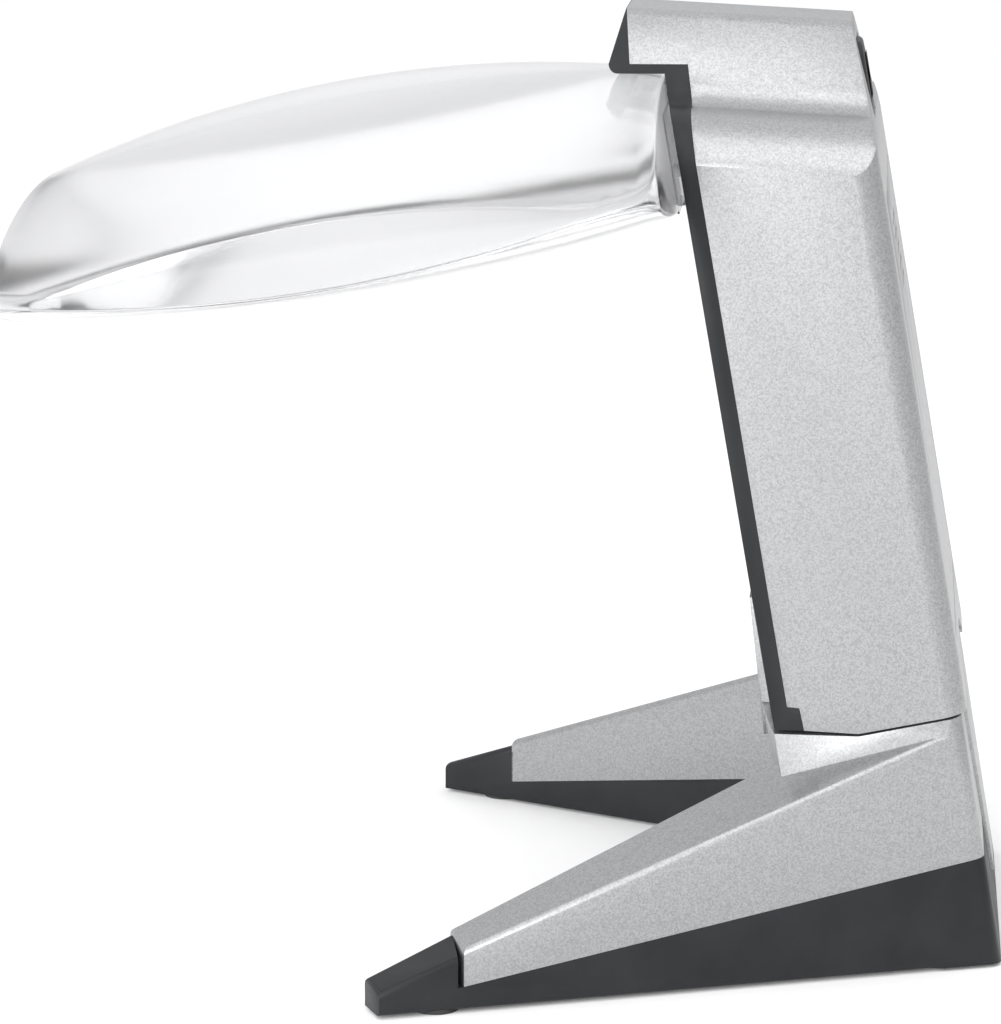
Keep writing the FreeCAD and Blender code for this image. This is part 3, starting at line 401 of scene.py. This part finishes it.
LEAN = math.atan(0.1763)
button_low, button_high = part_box("power_button")
button_bm = bmesh.new()
bmesh.ops.create_cube(button_bm, size=1.0)
bmesh.ops.scale(button_bm, vec=BUTTON_SIZE, verts=button_bm.verts)
uprights = [edge for edge in button_bm.edges if abs(edge.verts[0].co.y - edge.verts[1].co.y) > 1 * MM]
bmesh.ops.bevel(button_bm, geom=uprights, offset=2.6 * MM, offset_type="OFFSET", affect="EDGES",
                segments=10, profile=0.5, material=-1)
rim = [edge for edge in button_bm.edges if min(vert.co.y for vert in edge.verts) > 1.4 * MM]
bmesh.ops.bevel(button_bm, geom=rim, offset=0.6 * MM, offset_type="OFFSET", affect="EDGES",
                segments=4, profile=0.5, material=-1)
front = max(button_bm.faces, key=lambda face: face.calc_center_median().y)
for step in range(3):
    bmesh.ops.inset_region(button_bm, faces=[front], thickness=1.0 * MM, depth=0.06 * MM)
bmesh.ops.transform(button_bm, matrix=leaning(BUTTON_MIDDLE), verts=button_bm.verts)
button = new_object("thumb_button", button_bm)
button.data.materials.append(soft_black.material)
print("button sits between", round(button_low.y, 4), "and", round(button_high.y, 4))

# %% [markdown]
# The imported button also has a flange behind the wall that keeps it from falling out. It is
# a plain frame, softened the same way, and both pieces move together.

# %% Button flange
flange_bm = bmesh.new()
bmesh.ops.create_cube(flange_bm, size=1.0)
bmesh.ops.scale(flange_bm, vec=Vector((11.6, 1.0, 10.2)) * MM, verts=flange_bm.verts)
bmesh.ops.bevel(flange_bm, geom=flange_bm.edges[:], offset=0.2 * MM, offset_type="OFFSET",
                affect="EDGES", segments=2, profile=0.5, material=-1)
bmesh.ops.transform(flange_bm, matrix=leaning(BUTTON_MIDDLE + Vector((0, -1.85, -0.55)) * MM),
                    verts=flange_bm.verts)
flange = new_object("button_flange", flange_bm, smooth=False)
flange.data.materials.append(soft_black.material)
for piece in (button, flange):
    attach(piece, "button")
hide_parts("power_button")
print("button:", [round(value * 1000, 1) for value in button.dimensions], "mm")

# %% [markdown]
# ## The lens
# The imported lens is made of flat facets, which glass shows at once. The real one is cast
# between two polished spheres, so it is made again here: a rounded rectangle is cut into
# small squares, and its copy for each face is lifted onto that face's sphere. The two
# skins are then joined by the polished wall around the edge.

# %% Sizes of the lens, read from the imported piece
LENS_LONG = 75.0 * MM
LENS_WIDE = 100.0 * MM
CORNER = 10.7 * MM
TOP = (139.0 * MM, 13.4 * MM)
BOTTOM = (174.6 * MM, 10.9 * MM)
HINGE_SIDE = Vector((0.0, 17.6, 92.1)) * MM
low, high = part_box("lens")
print("packed lens is", [round((b - a) * 1000, 1) for a, b in zip(low, high)], "mm")

# %% Cut a rounded rectangle into small squares
def rounded_sheet():
    """Flat rounded rectangle, centred, already divided for bending."""
    bm = bmesh.new()
    bmesh.ops.create_grid(bm, x_segments=1, y_segments=1, size=0.5)
    bmesh.ops.scale(bm, vec=(LENS_WIDE, LENS_LONG, 1), verts=bm.verts)
    bmesh.ops.bevel(bm, geom=bm.verts[:], offset=CORNER, offset_type="OFFSET", affect="VERTICES",
                    segments=14, profile=0.5, material=-1)
    for axis, length in ((Vector((1, 0, 0)), LENS_WIDE), (Vector((0, 1, 0)), LENS_LONG)):
        count = round(length / (2.0 * MM))
        for step in range(1, count):
            spot = axis * (step / count - 0.5) * length
            bmesh.ops.bisect_plane(bm, geom=bm.verts[:] + bm.edges[:] + bm.faces[:],
                                   plane_co=spot, plane_no=axis, dist=1e-7)
    bmesh.ops.remove_doubles(bm, verts=bm.verts, dist=1e-6)
    return bm


lens_bm = rounded_sheet()
print("flat sheet:", len(lens_bm.faces), "faces")

# %% Bend the two skins and join them
def lift(verts, ball, sign):
    radius, rise = ball
    for vert in verts:
        reach = vert.co.x ** 2 + vert.co.y ** 2
        vert.co.z = sign * (math.sqrt(radius ** 2 - reach) - radius + rise)


top_verts = lens_bm.verts[:]
copied = bmesh.ops.duplicate(lens_bm, geom=lens_bm.verts[:] + lens_bm.edges[:] + lens_bm.faces[:])
bottom_verts = [item for item in copied["geom"] if isinstance(item, bmesh.types.BMVert)]
lift(top_verts, TOP, 1)
lift(bottom_verts, BOTTOM, -1)
rims = [edge for edge in lens_bm.edges if edge.is_boundary]
bmesh.ops.bridge_loops(lens_bm, edges=rims)
bmesh.ops.recalc_face_normals(lens_bm, faces=lens_bm.faces)
print("lens skins and wall:", len(lens_bm.faces), "faces")

# %% Break the rim edges and set the lens on its hinge side
sharp = [edge for edge in lens_bm.edges if len(edge.link_faces) == 2 and edge.calc_face_angle() > 0.45]
bmesh.ops.bevel(lens_bm, geom=sharp, offset=0.35 * MM, offset_type="OFFSET", affect="EDGES",
                segments=2, profile=0.5, material=-1)
bmesh.ops.translate(lens_bm, vec=(0, -LENS_LONG / 2, 0), verts=lens_bm.verts)
place = Matrix.Translation(HINGE_SIDE) @ Matrix.Rotation(LEAN, 4, "X")
bmesh.ops.transform(lens_bm, matrix=place, verts=lens_bm.verts)
lens = new_object("reading_lens", lens_bm)
lens.data.materials.append(acrylic.material)
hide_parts("lens")
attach(lens, "lens_unit")
print("lens:", [round(value * 1000, 1) for value in lens.dimensions], "mm")
